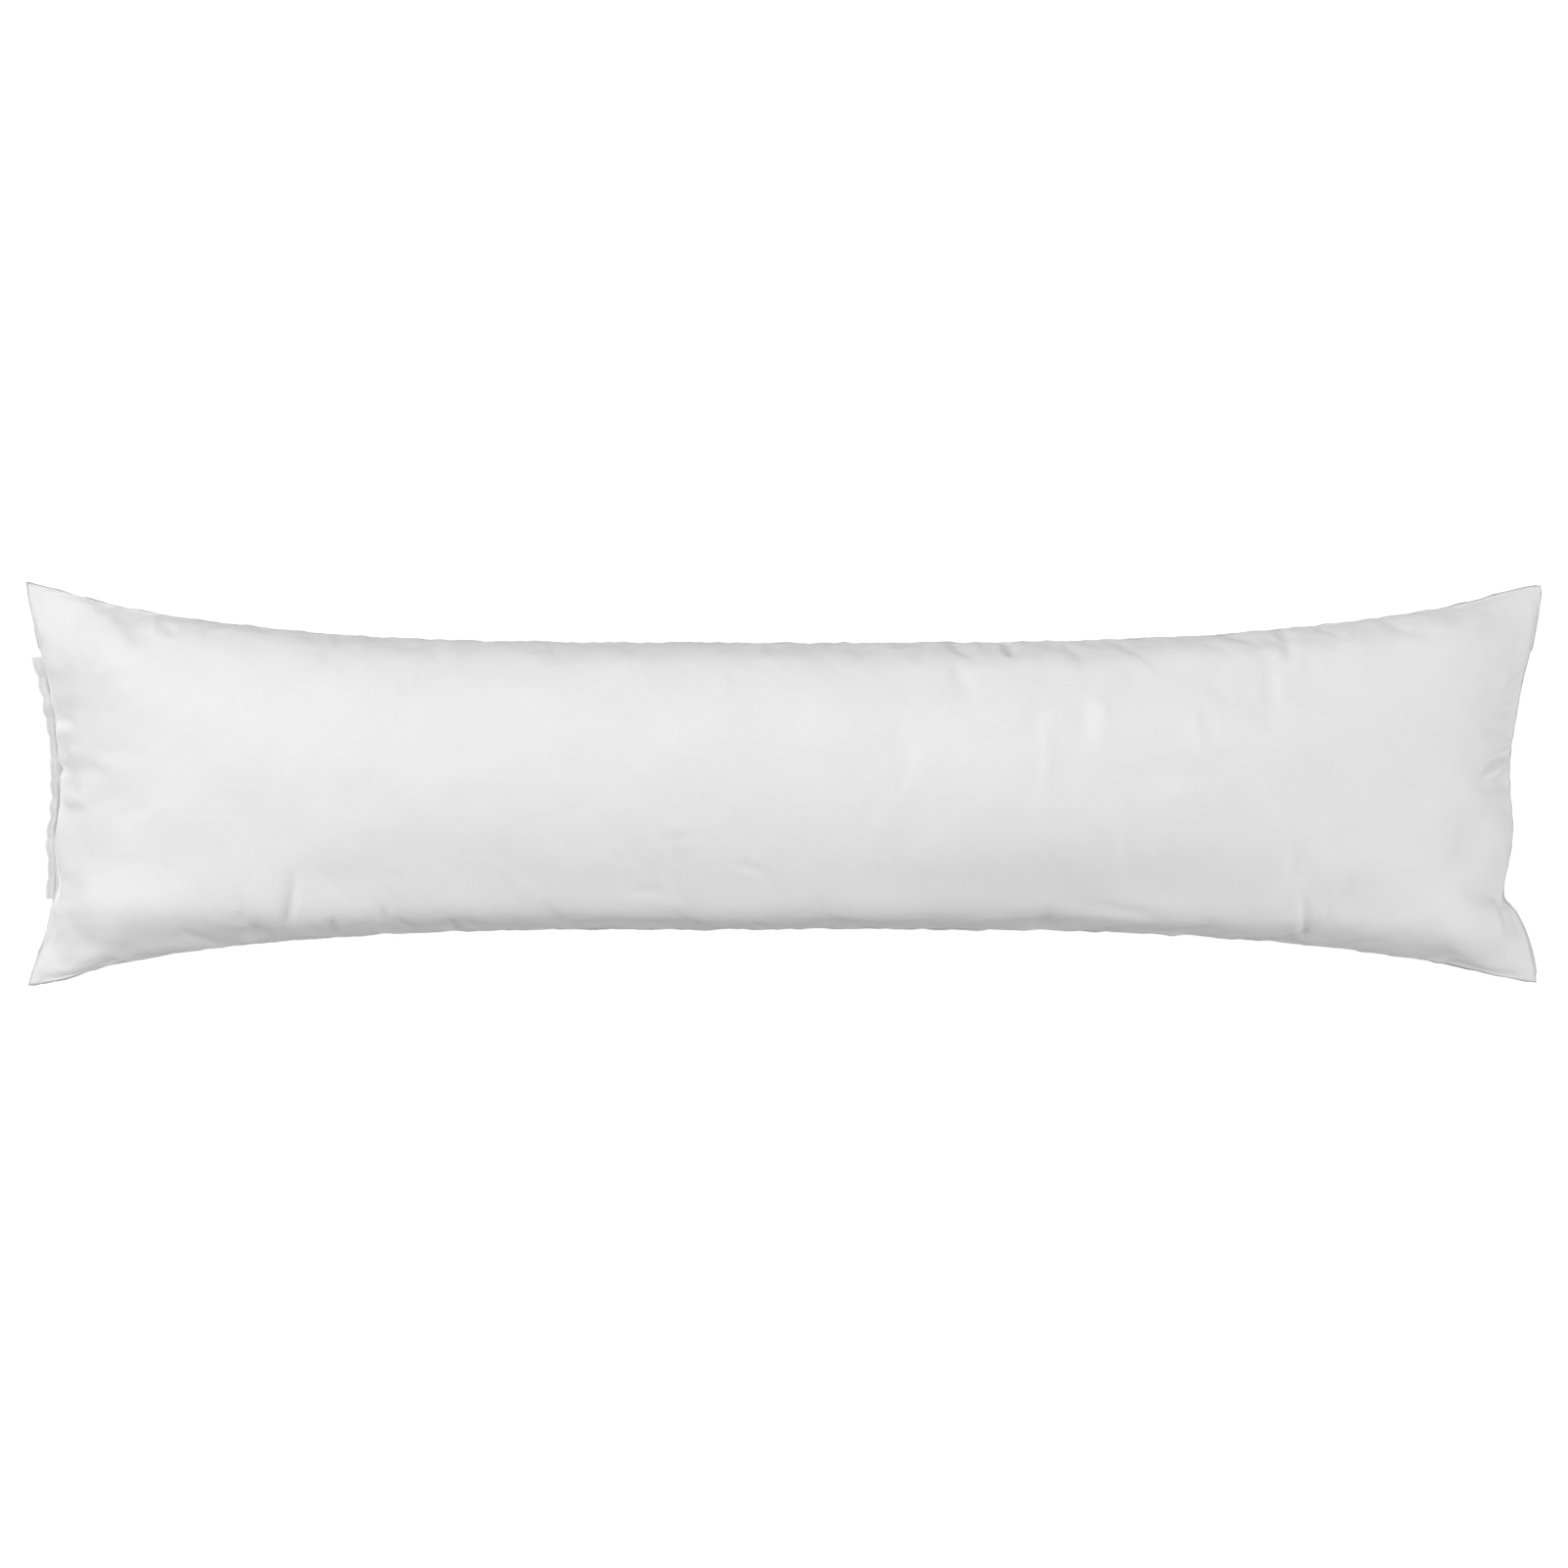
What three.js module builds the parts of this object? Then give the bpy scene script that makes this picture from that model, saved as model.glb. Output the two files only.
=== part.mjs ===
// A long bench cushion: two panels of white cloth sewn edge to edge with pointed corners, blown full of
// fibre, and closed along one short end with a narrow topstitched strip.
// Millimetres, +Z up. It lies on its back with the origin under its middle: X runs along it, Y across it.
import * as THREE from "three";

// Both panels are cut to one width, which they keep round the section when the cushion is filled.
const PANEL_WIDTH = 400;

// The seam seen from above. Each long seam bows in from its corners to the waist by a power of its length:
// the higher the power, the nearer to the corner it turns out. A small ear swells it just before the corner.
const CORNERS = {
  backLeft: { x: -740, y: 197, power: 3.6, ear: 2 },
  backRight: { x: 740, y: 194.5, power: 3.35, ear: 3 },
  frontLeft: { x: -739, y: -197, power: 3.65, ear: 3.8 },
  frontRight: { x: 735, y: -194, power: 3.3, ear: 2.4 },
};
const WAIST_BACK = 136.4;
const WAIST_FRONT = -139.9;
// The ear starts at this share of the half length, and the skew moves its peak towards the corner.
const EAR = { from: 0.88, skew: 1.4 };

// The short seams draw in between their corners, with a small bulge where the filling pushes them out.
// A high power keeps the draw deep till near the corner, and a high rounding eases it into the corner.
const ENDS = {
  left: { drawIn: 32, backPower: 2, frontPower: 3.8, rounding: 1.6, bulgeAt: -0.29, bulge: 4.5 },
  right: { drawIn: 29.4, backPower: 2.2, frontPower: 3.1, rounding: 2.1, bulgeAt: -0.21, bulge: 2.7 },
};
const BULGE_SPAN = 0.14;
// The front right corner folds under the end, and there the seam has a notch, sharp on the corner's side.
const NOTCH = { at: -0.585, depth: 13, spanToMiddle: 0.174, spanToCorner: 0.065, endPower: 8 };

// A short seam's draw fades away from its end by a power of the length.
const DRAW_FADE = 6;

// The section: a rounded arch above the seam, and below it a bowl with a flat foot on the floor. Each is as
// high as the panel's width allows over the section's half width, so the cushion thins towards its ends.
const ARCH_POWER = 2.2;
const BOWL_POWER = 2;
const FOOT_SHARE = 0.4;
// How far from an end seam the filling reaches the section's full height, above and below the seam.
const CROWN_RUN = 100;
const BOWL_RUN = 100;
// The bowl lies on the floor up to this share of the half length, and from there lifts off to the ends.
const END_LIFT = { from: 0.7, height: 16 };
// What the unsupported corners sink below the rest of the seam. The powers keep it close to the corner.
const CORNER_DROOP = { drop: 14, lengthPower: 8, widthPower: 3 };

// The share of the crown's rise over which the folds fade out towards the seam.
const FOLD_FADE = 0.5;

// Soft folds pressed into the upper panel, by where they lie and which way they run. Degrees turn from +X
// to +Y. A positive depth is a trough and a negative one a ridge.
const FOLDS = [
  { x: 700, y: -113, degrees: 75, length: 74, width: 24, depth: 11 },
  { x: 668, y: 12, degrees: 30, length: 92, width: 22, depth: 7 },
  { x: 652, y: -62, degrees: 66, length: 120, width: 34, depth: 7 },
  { x: 520, y: -116, degrees: 58, length: 104, width: 26, depth: 6 },
  { x: 488, y: 112, degrees: 84, length: 88, width: 26, depth: 5 },
  { x: 300, y: 8, degrees: 72, length: 190, width: 36, depth: 4 },
  { x: 226, y: 48, degrees: 104, length: 130, width: 30, depth: 4 },
  { x: 262, y: 66, degrees: 92, length: 110, width: 26, depth: -3 },
  { x: 212, y: 130, degrees: 100, length: 60, width: 22, depth: 4 },
  { x: -480, y: -118, degrees: 76, length: 84, width: 24, depth: 6 },
  { x: -690, y: 64, degrees: 172, length: 64, width: 22, depth: 4 },
  { x: -686, y: 8, degrees: 186, length: 60, width: 22, depth: 4 },
  { x: -684, y: -36, degrees: 176, length: 60, width: 24, depth: -3 },
];

// The strip that closes the left end, where the two panels' edges are turned in and stitched flat.
const STRIP = { back: 124, front: -115, width: 8.6, thickness: 2.4, gap: 0.5 };
const STRIP_RIPPLE = { waves: 7, sideways: 1.1, upDown: 1.6, unevenness: 2.3 };

// Grid steps along and across each panel, and how far they crowd towards the seams, from 0 to 1.
const COLUMNS = 88;
const ROWS = 32;
const COLUMN_CROWDING = 0.8;
const ROW_CROWDING = 1;
const STRIP_STEPS = 48;

// Steps along half a section when its length is measured, and halvings when its height is looked for.
const ARC_STEPS = 60;
const HALVINGS = 24;

const CLOTH_WHITE = 0xf2f2f2;

const { clamp, lerp } = THREE.MathUtils;

// One quarter of a superellipse: 0 at the seam, where t is 1, rising to 1 where t is 0 or less.
function quarter(t, power) {
  return (1 - Math.max(t, 0) ** power) ** (1 / power);
}

// The length of a panel's line over a half width, for a rise or drop and a flat share in the middle.
function arcLength(halfWidth, height, power, flatShare) {
  let length = flatShare * halfWidth;
  let before = { across: flatShare * halfWidth, up: height };
  for (let step = 1; step <= ARC_STEPS; step++) {
    const angle = (step / ARC_STEPS) * (Math.PI / 2);
    const out = Math.sin(angle) ** (2 / power);
    const here = {
      across: halfWidth * lerp(flatShare, 1, out),
      up: height * Math.cos(angle) ** (2 / power),
    };
    length += Math.hypot(here.across - before.across, here.up - before.up);
    before = here;
  }
  return length;
}

// The height that uses up half a panel's width over this half width of the filled cushion.
function heightOver(halfWidth, power, flatShare) {
  let low = 0;
  let high = PANEL_WIDTH / 2;
  for (let halving = 0; halving < HALVINGS; halving++) {
    const middle = (low + high) / 2;
    if (arcLength(halfWidth, middle, power, flatShare) < PANEL_WIDTH / 2) low = middle;
    else high = middle;
  }
  return low;
}

// The long seams, with u from -1 at the left corner to 1 at the right one.
function longSeam(u, leftCorner, rightCorner, waist) {
  const corner = u < 0 ? leftCorner : rightCorner;
  const reach = Math.abs(u);
  const alongEar = clamp((reach - EAR.from) / (1 - EAR.from), 0, 1);
  const swell = Math.sign(corner.y) * corner.ear * Math.sin(Math.PI * alongEar ** EAR.skew);
  return { x: reach * corner.x, y: waist + (corner.y - waist) * reach ** corner.power + swell };
}

function backSeam(u) {
  return longSeam(u, CORNERS.backLeft, CORNERS.backRight, WAIST_BACK);
}

function frontSeam(u) {
  return longSeam(u, CORNERS.frontLeft, CORNERS.frontRight, WAIST_FRONT);
}

// How far a short seam is drawn in, with v from -1 at the front corner to 1 at the back one.
function drawnIn(end, v) {
  const power = v < 0 ? end.frontPower : end.backPower;
  const bulge = end.bulge * Math.exp(-(((v - end.bulgeAt) / BULGE_SPAN) ** 2));
  return end.drawIn * (1 - Math.abs(v) ** power) ** end.rounding - bulge;
}

// The notch fades smoothly towards the middle of the seam, and from a cusp towards the corner.
function notchAt(v) {
  const away = Math.abs(v - NOTCH.at);
  const fade = v < NOTCH.at ? away / NOTCH.spanToCorner : (away / NOTCH.spanToMiddle) ** 2;
  return NOTCH.depth * (1 - v ** NOTCH.endPower) * Math.exp(-fade);
}

// The place in plan of a panel's point: between the long seams, and drawn in near its end.
function planPoint(u, v) {
  const across = (v + 1) / 2;
  const [front, back] = [frontSeam(u), backSeam(u)];
  const left = drawnIn(ENDS.left, v) * ((1 - u) / 2) ** DRAW_FADE;
  const right = (drawnIn(ENDS.right, v) + notchAt(v)) * ((1 + u) / 2) ** DRAW_FADE;
  return { x: lerp(front.x, back.x, across) + left - right, y: lerp(front.y, back.y, across) };
}

const HALF_LENGTH = CORNERS.backRight.x;

function halfWidthAt(u) {
  return (backSeam(u).y - frontSeam(u).y) / 2;
}

function bowlDepth(u) {
  return heightOver(halfWidthAt(u), BOWL_POWER, FOOT_SHARE);
}

// The seam lies as high as the bowl is deep, lifts at the ends, and sinks at the corners.
function seamHeight(u, v) {
  const { drop, lengthPower, widthPower } = CORNER_DROOP;
  const lift = END_LIFT.height * Math.max((Math.abs(u) - END_LIFT.from) / (1 - END_LIFT.from), 0) ** 2;
  return bowlDepth(u) + lift - drop * Math.abs(u) ** lengthPower * Math.abs(v) ** widthPower;
}

// 0 at an end seam, 1 once the filling is at full height.
function endRise(u, run, power) {
  return quarter(1 - ((1 - Math.abs(u)) * HALF_LENGTH) / run, power);
}

// How deep the folds press into the upper panel at a place. A fold fades along its length and across it.
function foldDepth(x, y) {
  let depth = 0;
  for (const fold of FOLDS) {
    const angle = THREE.MathUtils.degToRad(fold.degrees);
    const along = (x - fold.x) * Math.cos(angle) + (y - fold.y) * Math.sin(angle);
    const across = (y - fold.y) * Math.cos(angle) - (x - fold.x) * Math.sin(angle);
    const away = Math.hypot((2 * along) / fold.length, (2 * across) / fold.width);
    depth += fold.depth * Math.exp(-(away ** 2));
  }
  return depth;
}

function upperPoint(u, v) {
  const { x, y } = planPoint(u, v);
  const crown = heightOver(halfWidthAt(u), ARCH_POWER, 0);
  const fullness = quarter(Math.abs(v), ARCH_POWER) * endRise(u, CROWN_RUN, ARCH_POWER);
  const folded = foldDepth(x, y) * Math.min(fullness / FOLD_FADE, 1);
  return [x, y, seamHeight(u, v) + crown * fullness - folded];
}

function lowerPoint(u, v) {
  const { x, y } = planPoint(u, v);
  const bowl = quarter((Math.abs(v) - FOOT_SHARE) / (1 - FOOT_SHARE), BOWL_POWER);
  const z = seamHeight(u, v) - bowlDepth(u) * bowl * endRise(u, BOWL_RUN, BOWL_POWER);
  return [x, y, Math.max(z, 0)];
}

// A closed skin of two grids that share their rim. Its squares are cut from their outer corner, so that
// the skins part right up to each point of the cushion.
function skinGeometry(upper, lower, columns, rows) {
  const positions = [];
  const grids = [upper, lower].map((pointAt, side) =>
    columns.map((u, column) =>
      rows.map((v, row) => {
        const onRim = column % (columns.length - 1) === 0 || row % (rows.length - 1) === 0;
        if (side === 1 && onRim) return null;
        return positions.push(...pointAt(u, v)) / 3 - 1;
      }),
    ),
  );
  const vertexAt = (side, column, row) => grids[side][column][row] ?? grids[0][column][row];
  const faces = [];
  for (let column = 0; column < columns.length - 1; column++) {
    for (let row = 0; row < rows.length - 1; row++) {
      for (const side of [0, 1]) {
        const a = vertexAt(side, column, row);
        const b = vertexAt(side, column + 1, row);
        const c = vertexAt(side, column + 1, row + 1);
        const d = vertexAt(side, column, row + 1);
        const towardsOneCorner = (columns[column] + columns[column + 1]) * (rows[row] + rows[row + 1]) > 0;
        const pair = towardsOneCorner ? [a, b, c, a, c, d] : [a, b, d, b, c, d];
        faces.push(...(side === 0 ? pair : pair.reverse()));
      }
    }
  }
  const geometry = new THREE.BufferGeometry();
  geometry.setAttribute("position", new THREE.Float32BufferAttribute(positions, 3));
  geometry.setIndex(faces);
  geometry.computeVertexNormals();
  return geometry;
}

// Steps from -1 to 1, closer together towards both ends. A crowding of 1 spaces them as a circle does.
function crowdedSteps(count, crowding) {
  return Array.from({ length: count + 1 }, (_, step) => {
    const even = (2 * step) / count - 1;
    return lerp(even, Math.sin((even * Math.PI) / 2), crowding);
  });
}

// The same steps, with the one that lies nearest to a place moved onto it.
function withStepAt(steps, place) {
  const away = steps.map((step) => Math.abs(step - place));
  const nearest = away.indexOf(Math.min(...away));
  return steps.map((step, index) => (index === nearest ? place : step));
}

function cushionGeometry() {
  const columns = crowdedSteps(COLUMNS, COLUMN_CROWDING);
  const rows = withStepAt(crowdedSteps(ROWS, ROW_CROWDING), NOTCH.at);
  return skinGeometry(upperPoint, lowerPoint, columns, rows);
}

// The strip's section is a flat rectangle, carried along the left seam with a ripple in both directions.
function stripGeometry() {
  const positions = [];
  const faces = [];
  const frontV = STRIP.front / CORNERS.backLeft.y;
  const backV = STRIP.back / CORNERS.backLeft.y;
  for (let step = 0; step <= STRIP_STEPS; step++) {
    const share = step / STRIP_STEPS;
    const v = lerp(frontV, backV, share);
    const seam = planPoint(-1, v);
    const wave = Math.PI * STRIP_RIPPLE.waves * share;
    const sway = Math.sin(STRIP_RIPPLE.unevenness * wave) * Math.cos(wave);
    const inner = seam.x - STRIP.gap;
    const outer = inner - STRIP.width - STRIP_RIPPLE.sideways * sway;
    const lift = STRIP_RIPPLE.upDown * Math.sin(2 * wave);
    const level = seamHeight(-1, v);
    const half = STRIP.thickness / 2;
    positions.push(inner, seam.y, level - half, inner, seam.y, level + half);
    positions.push(outer, seam.y, level + half + lift, outer, seam.y, level - half + lift);
  }
  const quad = (a, b, c, d) => faces.push(a, b, c, a, c, d);
  for (let step = 0; step < STRIP_STEPS; step++) {
    for (let side = 0; side < 4; side++) {
      const here = 4 * step;
      const next = here + 4;
      const turn = (side + 1) % 4;
      quad(here + side, next + side, next + turn, here + turn);
    }
  }
  const last = 4 * STRIP_STEPS;
  quad(0, 1, 2, 3);
  quad(last + 3, last + 2, last + 1, last);
  const geometry = new THREE.BufferGeometry();
  geometry.setAttribute("position", new THREE.Float32BufferAttribute(positions, 3));
  geometry.setIndex(faces);
  geometry.computeVertexNormals();
  return geometry;
}

function clothMaterial() {
  return new THREE.MeshStandardMaterial({ color: CLOTH_WHITE, roughness: 0.55, metalness: 0 });
}

function namedMesh(name, geometry) {
  const mesh = new THREE.Mesh(geometry, clothMaterial());
  mesh.name = name;
  return mesh;
}

const cushion = new THREE.Group();
cushion.add(namedMesh("filled_casing", cushionGeometry()));
cushion.add(namedMesh("closing_strip", stripGeometry()));

export default cushion;
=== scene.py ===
from collections import namedtuple

import bmesh
import bpy
import numpy as np
from mathutils import Matrix, Vector, noise


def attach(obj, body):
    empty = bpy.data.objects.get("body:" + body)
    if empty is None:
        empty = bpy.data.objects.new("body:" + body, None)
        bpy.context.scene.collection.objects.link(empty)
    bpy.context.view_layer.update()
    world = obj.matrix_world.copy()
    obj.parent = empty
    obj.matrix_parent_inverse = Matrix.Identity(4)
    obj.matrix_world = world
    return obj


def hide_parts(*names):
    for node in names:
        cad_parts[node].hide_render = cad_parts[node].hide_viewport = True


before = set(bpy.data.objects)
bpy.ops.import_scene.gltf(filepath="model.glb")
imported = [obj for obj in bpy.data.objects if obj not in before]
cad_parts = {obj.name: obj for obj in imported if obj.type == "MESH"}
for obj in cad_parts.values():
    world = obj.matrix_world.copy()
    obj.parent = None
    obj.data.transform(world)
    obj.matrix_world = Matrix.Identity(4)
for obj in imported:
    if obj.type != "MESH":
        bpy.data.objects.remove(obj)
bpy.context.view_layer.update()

MM = 0.001

# Both panels keep this width round the section when the cushion is filled.
PANEL_WIDTH = 400
# The cloth is cut a little larger, and the seams gather it.
CUT_LENGTH = 1524
CUT_WIDTH = 403

# The seam seen from above. Each long seam turns out towards its corners by a power of its length, and an
# ear swells it just before the corner.
Corner = namedtuple("Corner", "x y power ear")
BACK_LEFT = Corner(-740, 197, 3.6, 2)
BACK_RIGHT = Corner(740, 194.5, 3.35, 3)
FRONT_LEFT = Corner(-739, -197, 3.65, 3.8)
FRONT_RIGHT = Corner(735, -194, 3.3, 2.4)
WAIST_BACK = 136.4
WAIST_FRONT = -139.9
EAR_FROM = 0.88
EAR_SKEW = 1.4
HALF_LENGTH = BACK_RIGHT.x
WAIST_HALF = (WAIST_BACK - WAIST_FRONT) / 2

# The short seams draw in between their corners, with a small bulge where the filling pushes them out.
End = namedtuple("End", "draw_in back_power front_power rounding bulge_at bulge")
LEFT_END = End(32, 2, 3.8, 1.6, -0.29, 4.5)
RIGHT_END = End(29.4, 2.2, 3.1, 2.1, -0.21, 2.7)
BULGE_SPAN = 0.14
# The front right corner folds under the end, and there the seam has a notch.
Notch = namedtuple("Notch", "at depth span_to_middle span_to_corner end_power")
NOTCH = Notch(-0.585, 13, 0.174, 0.065, 8)

# A short seam's draw, and the folded corner's notch, fade away from their end by powers of the length.
DRAW_FADE = 6
NOTCH_FADE = 26

# The section: a rounded arch above the seam, and below it a bowl with a flat foot on the floor. Each is as
# high as the panel's width allows over the section's half width, so the cushion thins towards its ends.
ARCH_POWER = 2.2
BOWL_POWER = 2
FOOT_SHARE = 0.4
# How far from an end seam the filling reaches the section's full height, above and below the seam.
CROWN_RUN = 100
BOWL_RUN = 100
# The bowl lies on the floor up to this share of the half length, and from there lifts off to the ends.
LIFT_FROM = 0.7
END_LIFT = 16
CORNER_DROP = 14
DROP_LENGTH_POWER = 8
DROP_WIDTH_POWER = 3

# The sewn edge: a narrow lip of this width and thickness runs all round outside the filling.
LIP_WIDTH = 2.6
LIP_THICKNESS = 2.2

# The photograph's frame spans this length at the height of the end seams, seen through a long lens.
FRAME_SPAN = 1531
FRAME_HEIGHT = 30
LENS = 200
SENSOR = 36
# How far the camera sees, in metres.
FAR_CLIP = 100

# Squares along and across each panel, before the one subdivision that follows the simulation, and how often
# they are evened out. The seam's crease keeps the subdivision from rounding the seam off.
COLUMNS = 228
ROWS = 54
EVENING_ROUNDS = 12
SEAM_CREASE = 0.7
# The flat panels lie this far apart in the mesh's UVs.
PANEL_GAP = 20
# A point lower than this lies on the floor.
ON_FLOOR = 0.5
# Steps along half a section when its length is measured, and halvings when its height is looked for.
ARC_STEPS = 60
HALVINGS = 24
# The half widths at which the section's heights are worked out. Between them the heights are interpolated.
HALF_WIDTHS = np.linspace(130, 200, 71)


def quarter(t, power):
    """One quarter of a superellipse: 0 at the seam, where t is 1, rising to 1 where t is 0 or less."""
    return (1 - np.clip(t, 0, 1) ** power) ** (1 / power)


def arc_length(half_width, height, power, flat_share):
    """The length of a panel's line over a half width, for a rise or drop and a flat share in the middle."""
    angle = np.linspace(0, np.pi / 2, ARC_STEPS + 1)
    out = half_width * (flat_share + (1 - flat_share) * np.sin(angle) ** (2 / power))
    up = height * np.cos(angle).clip(0) ** (2 / power)
    return flat_share * half_width + np.hypot(np.diff(out), np.diff(up)).sum()


def height_over(half_width, power, flat_share):
    """The height that uses up half a panel's width over this half width of the filled cushion."""
    low, high = 0, PANEL_WIDTH / 2
    for _ in range(HALVINGS):
        middle = (low + high) / 2
        if arc_length(half_width, middle, power, flat_share) < PANEL_WIDTH / 2:
            low = middle
        else:
            high = middle
    return low


ARCH_HEIGHTS = np.array([height_over(width, ARCH_POWER, 0) for width in HALF_WIDTHS])
BOWL_DEPTHS = np.array([height_over(width, BOWL_POWER, FOOT_SHARE) for width in HALF_WIDTHS])


def long_seam(u, left, right, waist):
    """x and y of a long seam, with u from -1 at the left corner to 1 at the right one."""
    reach = np.abs(u)
    x, y, power, ear = (np.where(u < 0, at_left, at_right) for at_left, at_right in zip(left, right))
    along_ear = np.clip((reach - EAR_FROM) / (1 - EAR_FROM), 0, 1)
    swell = np.sign(left.y) * ear * np.sin(np.pi * along_ear**EAR_SKEW)
    return reach * x, waist + (y - waist) * reach**power + swell


def drawn_in(end, v):
    """How far a short seam is drawn in, with v from -1 at the front corner to 1 at the back one."""
    power = np.where(v < 0, end.front_power, end.back_power)
    bulge = end.bulge * np.exp(-(((v - end.bulge_at) / BULGE_SPAN) ** 2))
    return end.draw_in * (1 - np.abs(v) ** power) ** end.rounding - bulge


def notch_at(v):
    """The notch fades smoothly towards the middle of the seam, and from a cusp towards the corner."""
    away = np.abs(v - NOTCH.at)
    fade = np.where(v < NOTCH.at, away / NOTCH.span_to_corner, (away / NOTCH.span_to_middle) ** 2)
    return NOTCH.depth * (1 - v**NOTCH.end_power) * np.exp(-fade)


def mix(a, b, share):
    return a + (b - a) * share


def plan_point(u, v):
    """x and y of a panel's point: between the long seams, and drawn in near its end."""
    across = (v + 1) / 2
    front_x, front_y = long_seam(u, FRONT_LEFT, FRONT_RIGHT, WAIST_FRONT)
    back_x, back_y = long_seam(u, BACK_LEFT, BACK_RIGHT, WAIST_BACK)
    to_right = (1 + u) / 2
    left = drawn_in(LEFT_END, v) * ((1 - u) / 2) ** DRAW_FADE
    right = drawn_in(RIGHT_END, v) * to_right**DRAW_FADE
    notch = notch_at(v) * to_right**NOTCH_FADE
    return mix(front_x, back_x, across) + left - (right + notch), mix(front_y, back_y, across)


def half_width(u):
    _, back = long_seam(u, BACK_LEFT, BACK_RIGHT, WAIST_BACK)
    _, front = long_seam(u, FRONT_LEFT, FRONT_RIGHT, WAIST_FRONT)
    return (back - front) / 2


def seam_height(u, v):
    """The seam lies as high as the bowl is deep, lifts at the ends, and sinks at the corners."""
    depth = np.interp(half_width(u), HALF_WIDTHS, BOWL_DEPTHS)
    lift = END_LIFT * np.clip((np.abs(u) - LIFT_FROM) / (1 - LIFT_FROM), 0, 1) ** 2
    drop = CORNER_DROP * np.abs(u) ** DROP_LENGTH_POWER * np.abs(v) ** DROP_WIDTH_POWER
    return depth + lift - drop


def end_rise(u, run, power):
    """0 at an end seam, 1 once the filling is at full height."""
    return quarter(1 - ((1 - np.abs(u)) * HALF_LENGTH) / run, power)


def panel_height(u, v, side):
    """z of a panel at a place inside its lip: side 1 is the upper panel and -1 the lower one."""
    seam = seam_height(u, v)
    if side > 0:
        crown = np.interp(half_width(u), HALF_WIDTHS, ARCH_HEIGHTS)
        return seam + crown * quarter(np.abs(v), ARCH_POWER) * end_rise(u, CROWN_RUN, ARCH_POWER)
    depth = np.interp(half_width(u), HALF_WIDTHS, BOWL_DEPTHS)
    bowl = quarter((np.abs(v) - FOOT_SHARE) / (1 - FOOT_SHARE), BOWL_POWER)
    return seam - depth * bowl * end_rise(u, BOWL_RUN, BOWL_POWER)


def filled_point(u, v, side):
    """A panel's points: its filling's surface, half a lip away from the seam's level, and the floor."""
    x, y = plan_point(u, v)
    inner_u = np.clip(u / (1 - LIP_WIDTH / HALF_LENGTH), -1, 1)
    inner_v = np.clip(v / (1 - LIP_WIDTH / WAIST_HALF), -1, 1)
    z = panel_height(inner_u, inner_v, side) + side * LIP_THICKNESS / 2
    on_rim = (np.abs(u) == 1) | (np.abs(v) == 1)
    z = np.where(on_rim, seam_height(inner_u, inner_v), z)
    return np.stack([x, y, z.clip(0)], axis=-1)


def evened(u, v, side, axis):
    """Moves the grid's points along its lines, till each line is cut into equal lengths."""
    points = filled_point(u, v, side)
    if axis == 1:
        u, v, points = u.T, v.T, points.transpose(1, 0, 2)
    new_u, new_v = u.copy(), v.copy()
    for line in range(1, u.shape[1] - 1):
        steps = np.linalg.norm(np.diff(points[1:-1, line], axis=0), axis=1)
        length = np.concatenate([[0], np.cumsum(steps)])
        even = np.linspace(0, length[-1], len(length))
        new_u[1:-1, line] = np.interp(even, length, u[1:-1, line])
        new_v[1:-1, line] = np.interp(even, length, v[1:-1, line])
    return (new_u, new_v) if axis == 0 else (new_u.T, new_v.T)


def lip_steps(count, lip):
    """Even steps from -1 to 1, but for a first and a last one as wide as the lip."""
    return np.concatenate([[-1], np.linspace(lip - 1, 1 - lip, count - 1), [1]])


def skin_points():
    """Both panels' points as (side, column, row, xyz): filled, and lying flat as they were cut."""
    columns = lip_steps(COLUMNS, LIP_WIDTH / HALF_LENGTH)
    rows = lip_steps(ROWS, LIP_WIDTH / WAIST_HALF)
    filled = []
    for side in (1, -1):
        u, v = np.meshgrid(columns, rows, indexing="ij")
        for _ in range(EVENING_ROUNDS):
            u, v = evened(u, v, side, 1)
            u, v = evened(u, v, side, 0)
        filled.append(filled_point(u, v, side))
    flat_x = lip_steps(COLUMNS, 2 * LIP_WIDTH / CUT_LENGTH) * CUT_LENGTH / 2
    flat_y = lip_steps(ROWS, 2 * LIP_WIDTH / CUT_WIDTH) * CUT_WIDTH / 2
    flat = np.stack(np.meshgrid(flat_x, flat_y, indexing="ij"), axis=-1)
    return np.array(filled), flat


def square_corners(grid, reverse):
    """The values at the four corners of each square of a grid, in turn or in reverse."""
    columns, rows = grid.shape[:2]
    corners = [(0, 0), (1, 0), (1, 1), (0, 1)]
    if reverse:
        corners.reverse()
    return np.stack([grid[i : columns - 1 + i, j : rows - 1 + j] for i, j in corners], axis=2)


def skin_mesh(name, filled, flat):
    """A closed mesh of two grids that share their rim, with the flat panels' places as its UVs."""
    _, columns, rows, _ = filled.shape
    index = np.full((2, columns, rows), -1)
    index[0] = np.arange(columns * rows).reshape(columns, rows)
    index[1] = index[0]
    inner = (columns - 2) * (rows - 2)
    index[1, 1:-1, 1:-1] = columns * rows + np.arange(inner).reshape(columns - 2, rows - 2)
    points = np.concatenate([filled[0].reshape(-1, 3), filled[1, 1:-1, 1:-1].reshape(-1, 3)])
    quads, places = [], []
    for side in (0, 1):
        lower = side == 1
        quads.append(square_corners(index[side], lower).reshape(-1, 4))
        places.append(square_corners(flat + [0, side * (CUT_WIDTH + PANEL_GAP)], lower).reshape(-1, 2))
    mesh = bpy.data.meshes.new(name)
    mesh.from_pydata((points * MM).tolist(), [], np.concatenate(quads).tolist())
    layer = mesh.uv_layers.new(name="panel")
    layer.data.foreach_set("uv", (np.concatenate(places) * MM).ravel())
    mesh.validate()
    keep_seam_sharp(mesh, index[0])
    return mesh


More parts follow.
